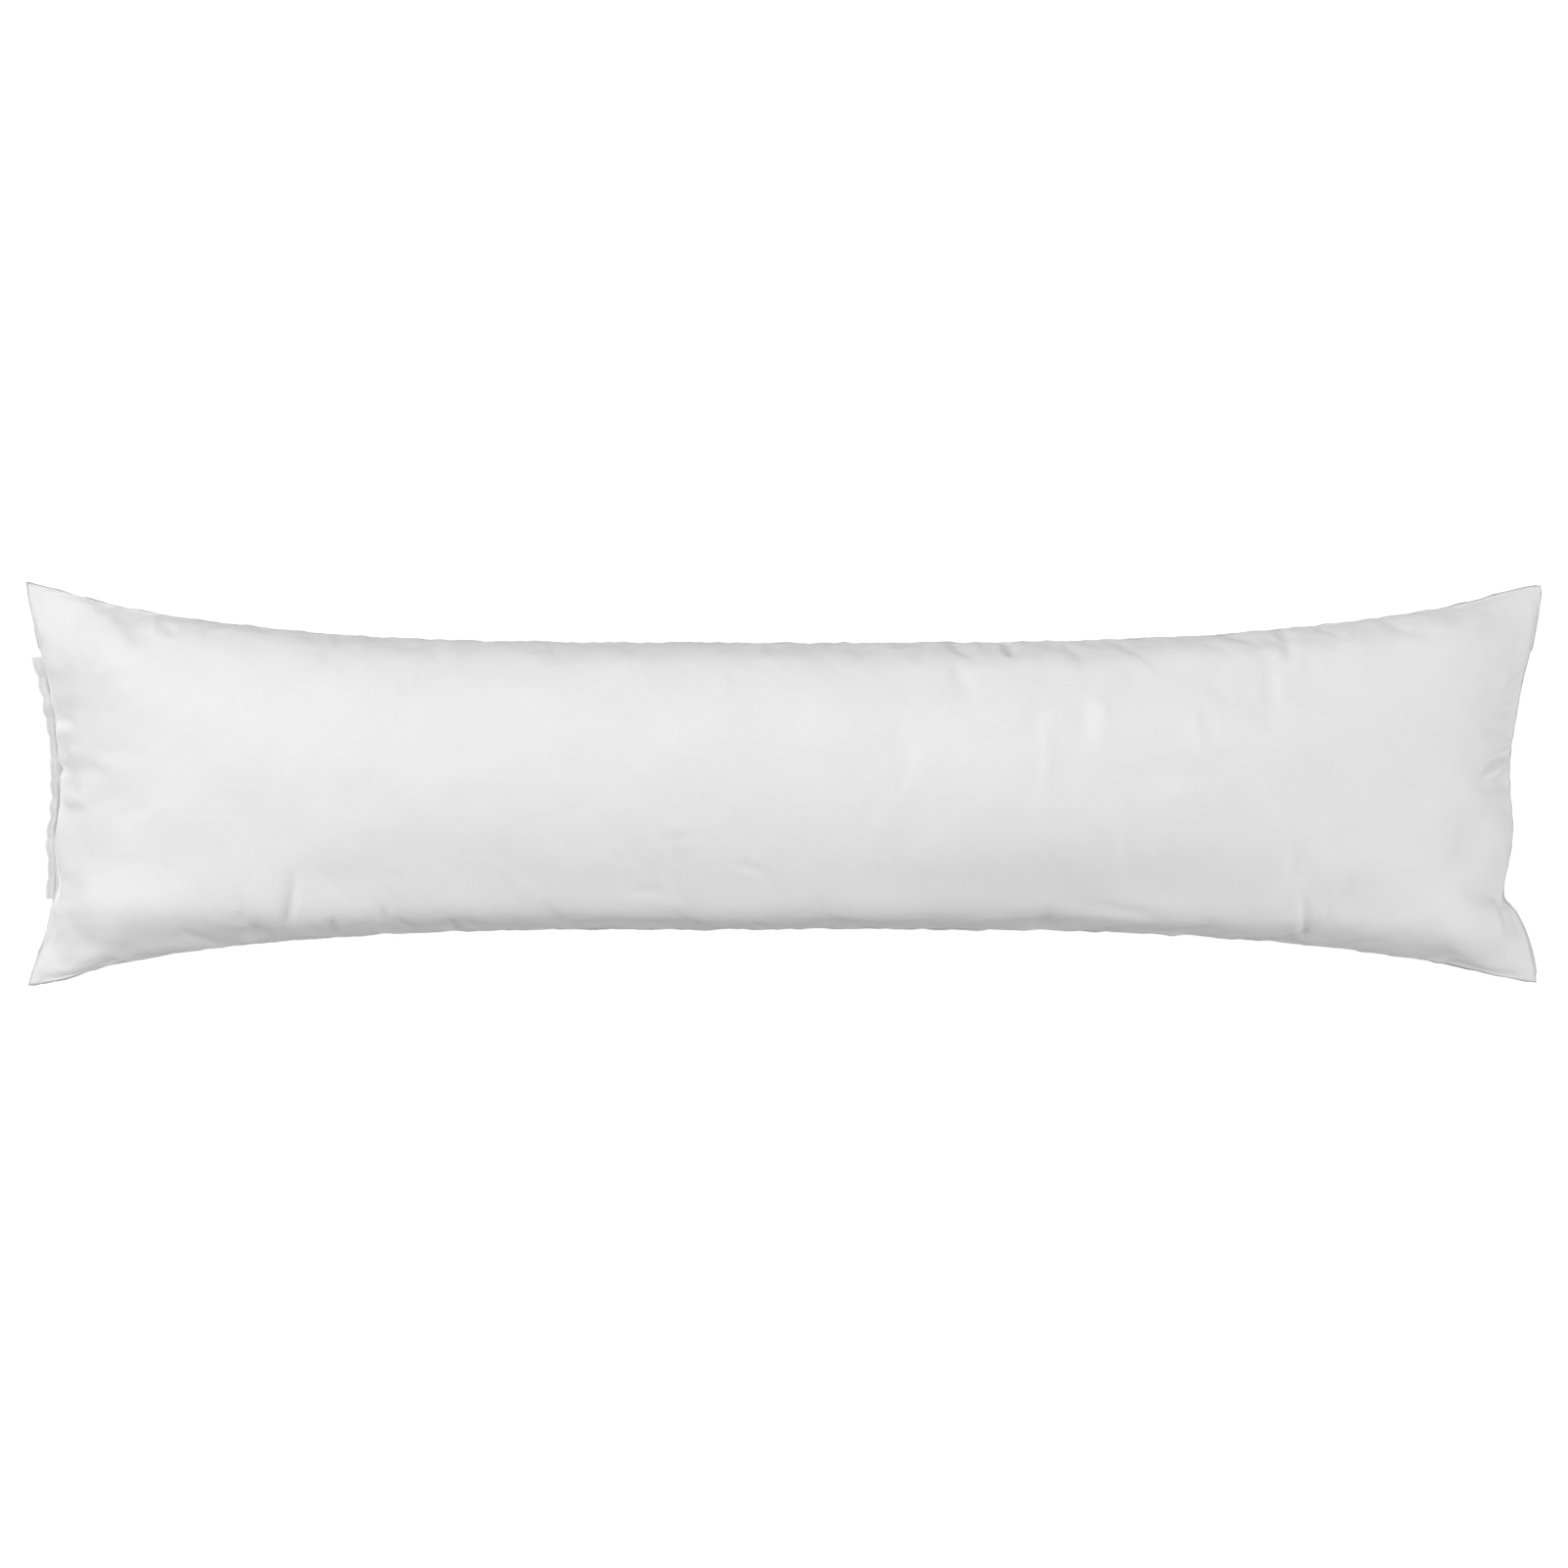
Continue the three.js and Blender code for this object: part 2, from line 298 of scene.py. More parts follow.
def keep_seam_sharp(mesh, grid):
    """Creases the seam and its corners, so that subdivision doesn't round them off."""
    on_rim = np.zeros(len(mesh.vertices), dtype=bool)
    on_rim[np.concatenate([grid[0], grid[-1], grid[:, 0], grid[:, -1]])] = True
    ends = np.empty(2 * len(mesh.edges), dtype=int)
    mesh.edges.foreach_get("vertices", ends)
    creases = mesh.attributes.new("crease_edge", "FLOAT", "EDGE")
    creases.data.foreach_set("value", SEAM_CREASE * on_rim[ends].reshape(-1, 2).all(axis=1))
    corners = mesh.attributes.new("crease_vert", "FLOAT", "POINT")
    for vertex in grid[[0, 0, -1, -1], [0, -1, 0, -1]].tolist():
        corners.data[vertex].value = 1


def new_object(name, mesh):
    piece = bpy.data.objects.new(name, mesh)
    bpy.context.scene.collection.objects.link(piece)
    return piece


def points_of(mesh):
    points = np.empty(len(mesh.vertices) * 3)
    mesh.vertices.foreach_get("co", points)
    return points.reshape(-1, 3)


def set_points(mesh, points):
    mesh.vertices.foreach_set("co", points.ravel())
    mesh.update()


# How the cloth is settled round its filling. A negative shrink is slack: the cloth grows by that share.
MOST_SLACK = 0.04
FRAMES = 20
MOST_MOVE = 14
CLOTH = {
    "quality": 6,
    "mass": 0.1,
    "tension_stiffness": 20,
    "compression_stiffness": 20,
    "shear_stiffness": 5,
    "bending_stiffness": 0.05,
    "tension_damping": 5,
    "compression_damping": 5,
    "air_damping": 1,
    "use_pressure": True,
    "uniform_pressure_force": 4,
    "pin_stiffness": 1,
    "shrink_min": -MOST_SLACK,
}
# How firmly it keeps its seams, the seam that carries the strip, and the foot that lies on the floor.
RIM_HOLD = 0.9
STRIP_HOLD = 1.0
FOOT_HOLD = 1.0
# Shares of the most slack: all over, under the cushion, and gathered by the seams, where it fades out over
# a distance from them.
SLACK_ALL_OVER = 0.1
SLACK_UNDER = 0.3
SEAM_SLACK = 0.5
SEAM_SLACK_REACH = 40
# Where the upper panel has more slack, seen from above.
Zone = namedtuple("Zone", "x y reach_x reach_y slack")
SLACK_ZONES = [
    Zone(275, 0, 105, 110, 0.6),
    Zone(402, 30, 50, 60, 0.4),
    Zone(486, 108, 45, 45, 0.2),
    Zone(508, -116, 50, 45, 0.5),
    Zone(690, -60, 55, 85, 0.3),
    Zone(682, 20, 50, 45, 0.4),
    Zone(215, 124, 45, 30, 0.25),
    Zone(128, 122, 40, 25, 0.15),
    Zone(-60, -82, 110, 40, 0.15),
    Zone(-475, -120, 50, 40, 0.6),
    Zone(-602, 152, 55, 35, 0.3),
    Zone(-690, 0, 45, 110, 0.15),
]


def weight_group(piece, name, weights):
    """A vertex group, with the weights rounded so that like points are added together."""
    group = piece.vertex_groups.new(name=name)
    rounded = np.round(weights, 2)
    for weight in np.unique(rounded):
        group.add(np.flatnonzero(rounded == weight).tolist(), float(weight), "REPLACE")
    return group.name


def on_both(grid):
    """Values of a (column, row) grid for the vertices of both panels, which share the grid's rim."""
    return np.concatenate([grid.ravel(), grid[1:-1, 1:-1].ravel()])


def seam_distance():
    """How far each vertex lies from the nearest seam on the flat panels."""
    along = np.linspace(0, CUT_LENGTH, COLUMNS + 1)
    across = np.linspace(0, CUT_WIDTH, ROWS + 1)
    from_end = np.minimum(along, CUT_LENGTH - along)[:, None]
    from_side = np.minimum(across, CUT_WIDTH - across)[None, :]
    return on_both(np.minimum(from_end, from_side))


def slack_shares(points, distance):
    """How much of the most slack each vertex has."""
    x, y, _ = points.T / MM
    upper = np.arange(len(points)) < (COLUMNS + 1) * (ROWS + 1)
    slack = np.where(upper, SLACK_ALL_OVER, SLACK_UNDER)
    slack += SEAM_SLACK * np.exp(-((distance / SEAM_SLACK_REACH) ** 2))
    for zone in SLACK_ZONES:
        away = ((x - zone.x) / zone.reach_x) ** 2 + ((y - zone.y) / zone.reach_y) ** 2
        slack += np.where(upper, zone.slack * np.exp(-away), 0)
    return slack.clip(0, 1)


def hold_weights(points, distance):
    """How firmly each vertex keeps its place."""
    hold = np.where(points[:, 2] / MM < ON_FLOOR, FOOT_HOLD, 0.0)
    hold[distance == 0] = RIM_HOLD
    hold[: ROWS + 1] = STRIP_HOLD
    return hold


def settle_as_cloth(casing):
    """Simulates the casing as cloth with slack in places, blown up by its filling."""
    start = points_of(casing.data)
    distance = seam_distance()
    cloth = casing.modifiers.new("cloth", "CLOTH")
    settings = cloth.settings
    for name, value in CLOTH.items():
        setattr(settings, name, value)
    settings.effector_weights.gravity = 0
    settings.vertex_group_mass = weight_group(casing, "hold", hold_weights(start, distance))
    settings.vertex_group_shrink = weight_group(casing, "taut", 1 - slack_shares(start, distance))
    cloth.collision_settings.use_collision = False
    cloth.collision_settings.use_self_collision = False
    cloth.point_cache.frame_start = 1
    cloth.point_cache.frame_end = FRAMES
    scene = bpy.context.scene
    for number in range(1, FRAMES + 1):
        scene.frame_set(number)
    evaluated = casing.evaluated_get(bpy.context.evaluated_depsgraph_get())
    move = points_of(evaluated.data) - start
    scene.frame_set(1)
    casing.modifiers.remove(cloth)
    casing.vertex_groups.clear()
    length = np.linalg.norm(move, axis=1, keepdims=True)
    settled = start + move * (MOST_MOVE * MM / np.maximum(length, MOST_MOVE * MM))
    settled[:, 2] = np.maximum(settled[:, 2], 0)
    set_points(casing.data, settled)


def subdivide_once(piece):
    """Adds and applies one level of subdivision."""
    piece.modifiers.new("finer", "SUBSURF").levels = 1
    evaluated = piece.evaluated_get(bpy.context.evaluated_depsgraph_get())
    finer = bpy.data.meshes.new_from_object(evaluated)
    old = piece.data
    piece.modifiers.clear()
    piece.data = finer
    finer.name = old.name
    bpy.data.meshes.remove(old)


# Creases pressed into the settled upper panel, seen from above. Degrees turn from +X to +Y, and a bend
# moves the ends of a crease sideways. A positive depth is a trough, with a low ridge beside it by a share
# of its depth, on the side that the share's sign gives. A negative depth is a ridge.
Crease = namedtuple("Crease", "x y degrees length width depth bend beside", defaults=(0, 0))
CREASES = [
    # The right end, where the front corner folds under it.
    Crease(706, -127, 108, 62, 17, 9, 3, 0.3),
    Crease(701, -76, 94, 90, 12, -2.6),
    Crease(692, 22, 32, 54, 9, 8.5, -4, -0.4),
    Crease(664, -62, 71, 88, 32, 5.5, 5),
    Crease(708, 94, 36, 34, 9, 5, 0, 0.4),
    Crease(702, 72, 25, 32, 11, 3.6, 0, 0.4),
    Crease(694, 52, 20, 40, 15, 3.4),
    Crease(688, -22, 40, 34, 12, 1.8),
    # The pucker by the front seam, and the one by the back seam.
    Crease(502, -127, 92, 44, 10, 4.5, 2, 0.4),
    Crease(492, -103, 70, 36, 13, -2.2),
    Crease(488, -76, 76, 56, 20, 3.4),
    Crease(486, 131, 88, 50, 13, 2.6, 0, -0.4),
    Crease(478, 91, 80, 36, 17, -2.2),
    Crease(468, 88, 92, 90, 15, 1.6),
    # The folds that fan out right of the middle.
    Crease(253, 16, 90, 92, 13, -2.8, 3),
    Crease(238, 58, 62, 62, 24, 2.6),
    Crease(286, 62, 112, 66, 26, 2.8, 0, -0.5),
    Crease(301, 52, 84, 74, 22, -2.4),
    Crease(312, -42, 90, 120, 20, -1.8, -6),
    Crease(326, -44, 90, 110, 18, 1.4, -6),
    Crease(312, -114, 174, 96, 9, 1.2, 3, 0.4),
    Crease(344, -120, 168, 60, 8, 1.2, 2),
    Crease(397, 44, 102, 78, 15, -2.6),
    Crease(408, 42, 102, 70, 13, 2),
    Crease(376, -8, 60, 26, 13, -1.8),
    Crease(217, 131, 100, 28, 10, 3, 0, 0.4),
    Crease(131, 125, 95, 24, 20, 2.2),
    # Faint lines on the front of the crown, left of the middle.
    Crease(-99, -52, 8, 62, 8, 1.5, 2),
    Crease(-31, -81, 163, 44, 8, 1.6, 0, 0.4),
    Crease(-125, -101, 176, 56, 8, 1.7, 2, 0.4),
    # The front seam's pucker at the left, and the small ones beside it.
    Crease(-476, -116, 78, 70, 13, 4.8, 2, -0.45),
    Crease(-512, -141, 70, 24, 8, 2.8, 0, -0.4),
    Crease(-527, -125, 65, 24, 9, 2.4, 0, -0.4),
    Crease(-436, -133, 85, 26, 9, 2.8, 0, -0.4),
    Crease(-387, -121, 90, 22, 8, 2.2, 0, -0.4),
    Crease(-320, -133, 95, 24, 9, 2.8, 0, -0.4),
    # The ridge that runs in from the back left corner.
    Crease(-640, 106, 150, 230, 56, -4.5),
    # The left end, behind the strip.
    Crease(-702, 60, 178, 38, 10, 3.8, 0, 0.5),
    Crease(-689, 30, 178, 24, 9, -2.2),
    Crease(-704, 16, 170, 26, 11, 3.2),
    Crease(-694, -4, 165, 26, 9, 2.8),
    Crease(-689, -17, 175, 28, 13, -3.2),
    Crease(-701, -89, 88, 54, 10, -2.8),
    Crease(-708, -100, 82, 42, 8, 3.2),
    Crease(-603, 156, 100, 24, 9, 2.2, 0, 0.4),
    Crease(-594, 149, 104, 22, 8, 1.8),
]
# A crease fades towards its ends by a power. The ridge beside it lies this many half widths aside.
CREASE_FADE = 1.5
RIDGE_ASIDE = 1.7
# A crease wavers in depth by this share, over this length, and it starts this far from a seam.
CREASE_WAVER = 0.35
CREASE_WAVER_SPAN = 18
CREASE_WAVER_SEED = 7.5
CREASE_START = 4
# The crumples that the stitching gathers: their depth, length along the seam and reach away from it. They
# are drawn out across the long seams by squeezing their noise, which is taken further aside for each one.
Crumple = namedtuple("Crumple", "depth span reach")
CRUMPLES = [Crumple(1.5, 26, 15), Crumple(0.9, 12, 7)]
CRUMPLE_SQUEEZE = [1, 0.35]
CRUMPLE_SHIFT = 300
CRUMPLE_SEED = 11.5
# The mesh keeps how near each point is to a seam, falling off over this distance.
NEAR_SEAM = 18
# The filling pushes out a shoulder along a long seam: its height and its distance from the seam, at the
# left end and at the right one, and its reach. Side -1 is the front seam and 1 the back one.
Shoulder = namedtuple("Shoulder", "side heights distances reach")
SHOULDERS = [Shoulder(-1, (9.5, 6.5), (78, 54), 28), Shoulder(1, (0, 6), (60, 60), 28)]
# It rises over this distance from an end seam.
SHOULDER_RUN = 78
# Lumps of the filling under the cloth, which rise over this distance from a seam.
Lump = namedtuple("Lump", "height span")
LUMPS = [Lump(2.2, 85), Lump(1.1, 38), Lump(0.35, 15)]
LUMP_RISE = 30
# The lower panel's noise is taken this far aside, so that it differs from the upper one's.
LOWER_SHIFT = 1000


def wavering(places, span, seed):
    """Smooth noise between about -1 and 1 at places in millimetres."""
    steps = np.column_stack([places / span, np.full(len(places), seed)])
    return np.array([noise.noise(step) for step in steps.tolist()])


def crease_depth(x, y, crease):
    """How far one crease presses in at places on the upper panel."""
    angle = np.radians(crease.degrees)
    along = ((x - crease.x) * np.cos(angle) + (y - crease.y) * np.sin(angle)) * 2 / crease.length
    aside = (y - crease.y) * np.cos(angle) - (x - crease.x) * np.sin(angle) - crease.bend * along**2
    across = aside * 2 / crease.width
    fade = (1 - np.clip(along, -1, 1) ** 2) ** CREASE_FADE
    ridge_at = np.sign(crease.beside) * RIDGE_ASIDE
    beside = abs(crease.beside) * np.exp(-((across - ridge_at) ** 2))
    return crease.depth * fade * (np.exp(-(across**2)) - beside)


def panel_places(mesh):
    """Each vertex's place on the flat panels in millimetres, and which of them are on the upper one."""
    loops = len(mesh.loops)
    corner_vertices = np.empty(loops, dtype=int)
    corner_places = np.empty(2 * loops)
    mesh.loops.foreach_get("vertex_index", corner_vertices)
    mesh.uv_layers["panel"].data.foreach_get("uv", corner_places)
    places = np.empty((len(mesh.vertices), 2))
    # The upper panel's corners come first, so the seam's vertices take their place on it.
    places[corner_vertices[::-1]] = corner_places.reshape(-1, 2)[::-1] / MM
    upper = places[:, 1] < (CUT_WIDTH + PANEL_GAP) / 2
    places[~upper, 1] -= CUT_WIDTH + PANEL_GAP
    return places, upper


def lumps_at(spot, distance):
    """How high the filling's lumps raise the cloth."""
    raised = sum(lump.height * wavering(spot, lump.span, number) for number, lump in enumerate(LUMPS))
    return raised * np.clip(distance / LUMP_RISE, 0, 1)


def shoulders_at(places, from_end):
    """How high the filling's shoulders raise the upper panel."""
    share = (places[:, 0] / CUT_LENGTH + 0.5).clip(0, 1)
    raised = 0
    for shoulder in SHOULDERS:
        away = CUT_WIDTH / 2 - shoulder.side * places[:, 1] - mix(*shoulder.distances, share)
        raised += mix(*shoulder.heights, share) * np.exp(-((away / shoulder.reach) ** 2))
    return raised * np.clip(from_end / SHOULDER_RUN, 0, 1)


def creases_at(x, y, spot, distance):
    """How far the creases press in the upper panel."""
    pressed = sum(crease_depth(x, y, crease) for crease in CREASES)
    waver = 1 + CREASE_WAVER * wavering(spot, CREASE_WAVER_SPAN, CREASE_WAVER_SEED)
    return pressed * waver * np.clip(distance / CREASE_START, 0, 1)


def crumples_at(spot, distance):
    """How high the crumples by the seams raise the cloth."""
    raised = 0
    for number, crumple in enumerate(CRUMPLES):
        place = spot * CRUMPLE_SQUEEZE + CRUMPLE_SHIFT * (number + 1)
        fold = wavering(place, crumple.span, CRUMPLE_SEED)
        raised += crumple.depth * fold * np.exp(-distance / crumple.reach)
    return raised


def press_details(mesh):
    """Moves the settled cloth along its normals, wherever it is off the floor."""
    points = points_of(mesh)
    normals = np.empty(len(points) * 3)
    mesh.vertex_normals.foreach_get("vector", normals)
    x, y = points[:, 0] / MM, points[:, 1] / MM
    places, upper = panel_places(mesh)
    from_end = CUT_LENGTH / 2 - np.abs(places[:, 0])
    from_side = CUT_WIDTH / 2 - np.abs(places[:, 1])
    distance = np.minimum(from_end, from_side).clip(0)
    spot = places + np.where(upper, 0, LOWER_SHIFT)[:, None]
    raised = lumps_at(spot, distance) + crumples_at(spot, distance)
    raised += np.where(upper, shoulders_at(places, from_end) - creases_at(x, y, spot, distance), 0)
    raised[points[:, 2] < ON_FLOOR * MM] = 0
    points += normals.reshape(-1, 3) * raised[:, None] * MM
    points[:, 2] = points[:, 2].clip(0)
    set_points(mesh, points)
    near = mesh.attributes.new("near_seam", "FLOAT", "POINT")
    near.data.foreach_set("value", np.exp(-distance / NEAR_SEAM))


def finish_casing(casing):
    """Everything that follows the simulation."""
    subdivide_once(casing)
    press_details(casing.data)
    casing.data.polygons.foreach_set("use_smooth", [True] * len(casing.data.polygons))
    casing.data.materials.append(cloth("casing_cloth"))


def build_casing():
    """The sewn case, settled round its filling."""
    casing = new_object("casing", skin_mesh("casing", *skin_points()))
    settle_as_cloth(casing)
    finish_casing(casing)
    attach(casing, "root")
    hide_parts("filled_casing")


# The strip that closes the left end: both panels' edges turned in, crimped as they were stitched flat.
Strip = namedtuple("Strip", "back front width thickness")
STRIP = Strip(124, -112, 8.6, 2.4)
STRIP_LENGTH = STRIP.back - STRIP.front
STRIP_STEPS = 300
CRIMPS = 12
# How thin the strip is at a crimp, how blunt it is between two, and how much its width follows them.
CRIMP_THICKNESS = 0.2
CRIMP_POWER = 0.7
CRIMP_WIDTH = 1.8
CRIMP_MIDDLE = 0.7
# The strip wavers. How much, the length of a wave, and a seed: for its crimps' places, as shares of its
# length, for its thickness, as a share of it, and for its outer edge and its level.
Waver = namedtuple("Waver", "depth span seed")
CRIMP_WAVER = Waver(0.012, 30, 3.5)
PUFF_WAVER = Waver(0.2, 9, 5.5)
EDGE_WAVER = Waver(1.6, 16, 1.5)
LEVEL_WAVER = Waver(2.4, 24, 9.5)
# Its top end flares outwards.
FLARE = 3
FLARE_REACH = 14
# The section runs round the strip: shares of its width out from the seam, and of half its thickness up. It
# starts inside the seam, dips beside it, and has a groove under the stitches.
STRIP_SECTION = [
    (-0.4, -0.3), (-0.4, 0.3), (0.05, 0.3), (0.2, 0.95), (0.42, 1), (0.55, 0.5), (0.68, 1), (0.86, 0.95),
    (0.96, 0.6),
]
# The stitches run along the strip's groove: their pitch, length and thickness, how far out they lie as a
# share of the strip's width, and how high as a share of its half thickness and a little more.
Stitch = namedtuple("Stitch", "pitch length thickness out up lift")
STITCH = Stitch(3.2, 2.45, 0.5, 0.55, 0.55, 0.1)
THREAD_SIDES = 8
THREAD_RINGS = 6


def strip_frame(share):
    """The strip's seam point, width, level and half thickness at a share of its length from the front."""
    v = mix(STRIP.front, STRIP.back, share) / BACK_LEFT.y
    seam_x, seam_y = plan_point(np.full_like(v, -1), v)
    place = np.column_stack([share * STRIP_LENGTH, np.zeros_like(share)])
    crimps, puff, edge, level = (
        waver.depth * wavering(place, waver.span, waver.seed)
        for waver in (CRIMP_WAVER, PUFF_WAVER, EDGE_WAVER, LEVEL_WAVER)
    )
    crimp = np.abs(np.sin(np.pi * CRIMPS * (share + crimps))) ** CRIMP_POWER
    thickness = STRIP.thickness * mix(CRIMP_THICKNESS, 1, crimp) * (1 + puff)
    flare = FLARE * np.exp(-(1 - share) * STRIP_LENGTH / FLARE_REACH)
    width = STRIP.width + edge + CRIMP_WIDTH * (crimp - CRIMP_MIDDLE) + flare
    return seam_x, seam_y, width, seam_height(-1, v) + level, thickness / 2


def strip_mesh():
    """The strip's section, run along the seam and closed at both ends."""
    x, y, width, level, half = strip_frame(np.linspace(0, 1, STRIP_STEPS + 1))
    under = [(out, -up) for out, up in reversed(STRIP_SECTION[2:])]
    section = STRIP_SECTION + under
    rings = [np.column_stack([x - out * width, y, level + up * half]) for out, up in section]
    points = np.stack(rings, axis=1).reshape(-1, 3)
    round_count = len(section)
    faces = []
    for step in range(STRIP_STEPS):
        for corner in range(round_count):
            here = step * round_count + corner
            turn = step * round_count + (corner + 1) % round_count
            faces.append((here, here + round_count, turn + round_count, turn))
    last = STRIP_STEPS * round_count
    faces.append(tuple(range(round_count)))
    faces.append(tuple(last + corner for corner in reversed(range(round_count))))
    mesh = bpy.data.meshes.new("closing_strip_cloth")
    mesh.from_pydata((points * MM).tolist(), [], faces)
    vertices = [loop.vertex_index for loop in mesh.loops]
    # The cloth's own places: along the strip, and out from the seam.
    places = points[vertices][:, [1, 0]] * MM
    mesh.uv_layers.new(name="panel").data.foreach_set("uv", places.ravel())
    return mesh


def add_stitch(shape, start, end):
    """Adds one stitch to a bmesh: a short thread that dives into the cloth at both ends."""
    along = end - start
    turn = along.to_track_quat("X", "Z").to_matrix().to_4x4()
    thread = STITCH.thickness * MM
    made = bmesh.ops.create_uvsphere(shape, u_segments=THREAD_SIDES, v_segments=THREAD_RINGS, radius=0.5)
    size = Matrix.Diagonal((along.length, thread, thread, 1))
    placed = Matrix.Translation((start + end) / 2) @ turn @ size
    bmesh.ops.transform(shape, matrix=placed, verts=made["verts"])


def stitches_mesh():
    """Both rows of stitches, one on each side of the strip."""
    count = int(STRIP_LENGTH / STITCH.pitch)
    starts = (np.arange(count) + 0.5) / count
    ends = (starts + STITCH.length / STITCH.pitch / count).clip(0, 1)
    lines = [strip_frame(starts), strip_frame(ends)]
    shape = bmesh.new()
    for side in (1, -1):
        tips = []
        for x, y, width, level, half in lines:
            height = level + side * (STITCH.up * half + STITCH.lift)
            tips.append(np.column_stack([x - STITCH.out * width, y, height]) * MM)
        for start, end in zip(*tips):
            add_stitch(shape, Vector(start), Vector(end))
    mesh = bpy.data.meshes.new("strip_stitches")
    shape.to_mesh(mesh)
    shape.free()
    return mesh


def build_strip():
    """The closing strip and its topstitching, each a mesh of its own."""
    strip = new_object("closing_strip_cloth", strip_mesh())
    stitches = new_object("strip_stitches", stitches_mesh())
    strip.data.materials.append(cloth("strip_cloth"))
    stitches.data.materials.append(sewing_thread())
    for piece in (strip, stitches):
        piece.data.polygons.foreach_set("use_smooth", [True] * len(piece.data.polygons))
        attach(piece, "root")
        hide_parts("closing_strip")


def principled(name):
    """A new material with its node tree and its shader."""
    material = bpy.data.materials.new(name)
    material.use_nodes = True
    return material, material.node_tree, material.node_tree.nodes["Principled BSDF"]


def calculated(tree, operation, first, second=None, third=None):
    """A Math node, whose inputs are sockets or numbers."""
    node = tree.nodes.new("ShaderNodeMath")
    node.operation = operation
    for socket, value in zip(node.inputs, (first, second, third)):
        if isinstance(value, bpy.types.NodeSocket):
            tree.links.new(value, socket)
        elif value is not None:
            socket.default_value = value
    return node.outputs[0]


# The cloth: a close weave, white, with a soft sheen. Lengths are in metres.
ALBEDO = 0.82
ROUGHNESS = 0.5
SPECULAR = 0.35
SHEEN = 0.1
SHEEN_ROUGHNESS = 0.5
WEAVE_PITCH = 0.0006
WEAVE_DEPTH = 0.00003
# Fine crumples that the mesh is too coarse for: their size, and their depths on flat cloth and at a seam.
FineCrumple = namedtuple("FineCrumple", "span flat_depth seam_depth detail seed")
FINE_CRUMPLES = [FineCrumple(0.016, 0.0009, 0.0018, 3, 0), FineCrumple(0.006, 0.0002, 0.0006, 3, 5)]
# The cloth's tone and its roughness vary from place to place, over a length and between two values.
Variation = namedtuple("Variation", "span detail seed low high")
TONE = Variation(0.07, 3, 11, 0.985, 1.01)
WEAR = Variation(0.03, 2, 17, ROUGHNESS - 0.06, ROUGHNESS + 0.06)
# Most of a noise's values lie between these two.
NOISE_LOW = 0.3
NOISE_HIGH = 0.7
# The sewn edge itself is painted darker by this share, a painted shade along the seam, from where
# "near_seam" is this high.
SEAM_SHADE = 0.35
SEAM_SHADE_FROM = 0.9
# The sewing thread: its twist's bands for each metre, their depth, and their darkest and lightest tone.
THREAD_TWIST = 900
TWIST_DEPTH = 0.00004
THREAD_TONES = (0.7, 0.82)
THREAD_ROUGHNESS = 0.6


def placed_noise(tree, place, span, detail, seed):
    """Noise whose features are about this wide, around 0.5."""
    texture = tree.nodes.new("ShaderNodeTexNoise")
    texture.noise_dimensions = "4D"
    texture.inputs["W"].default_value = seed
    texture.inputs["Scale"].default_value = 1 / span
    texture.inputs["Detail"].default_value = detail
    tree.links.new(place, texture.inputs["Vector"])
    return texture.outputs["Fac"]


def mapped(tree, value, lowest, highest, low, high):
    """A value's range turned into another one, and kept within it."""
    node = tree.nodes.new("ShaderNodeMapRange")
    tree.links.new(value, node.inputs["Value"])
    for name, number in zip(("From Min", "From Max", "To Min", "To Max"), (lowest, highest, low, high)):
        node.inputs[name].default_value = number
    return node.outputs["Result"]


def varied(tree, place, variation):
    """A value that varies between two others from place to place."""
    value = placed_noise(tree, place, variation.span, variation.detail, variation.seed)
    return mapped(tree, value, NOISE_LOW, NOISE_HIGH, variation.low, variation.high)


def bumped(tree, height, distance, below=None):
    """A bump of this many metres on top of the one below."""
    node = tree.nodes.new("ShaderNodeBump")
    node.inputs["Strength"].default_value = 1
    node.inputs["Distance"].default_value = distance
    tree.links.new(height, node.inputs["Height"])
    if below is not None:
        tree.links.new(below, node.inputs["Normal"])
    return node.outputs["Normal"]


def grey_colour(tree, value):
    """A colour whose three channels are this value."""
    colour = tree.nodes.new("ShaderNodeCombineColor")
    for channel in ("Red", "Green", "Blue"):
        tree.links.new(value, colour.inputs[channel])
    return colour.outputs["Color"]


def weave(tree, place):
    """The height of a plain weave: threads that pass over and under each other."""
    parts = tree.nodes.new("ShaderNodeSeparateXYZ")
    tree.links.new(place, parts.inputs[0])
    waves = []
    for axis in ("X", "Y"):
        turns = calculated(tree, "MULTIPLY", parts.outputs[axis], 2 * np.pi / WEAVE_PITCH)
        waves.append(calculated(tree, "SINE", turns))
    return calculated(tree, "MULTIPLY", *waves)


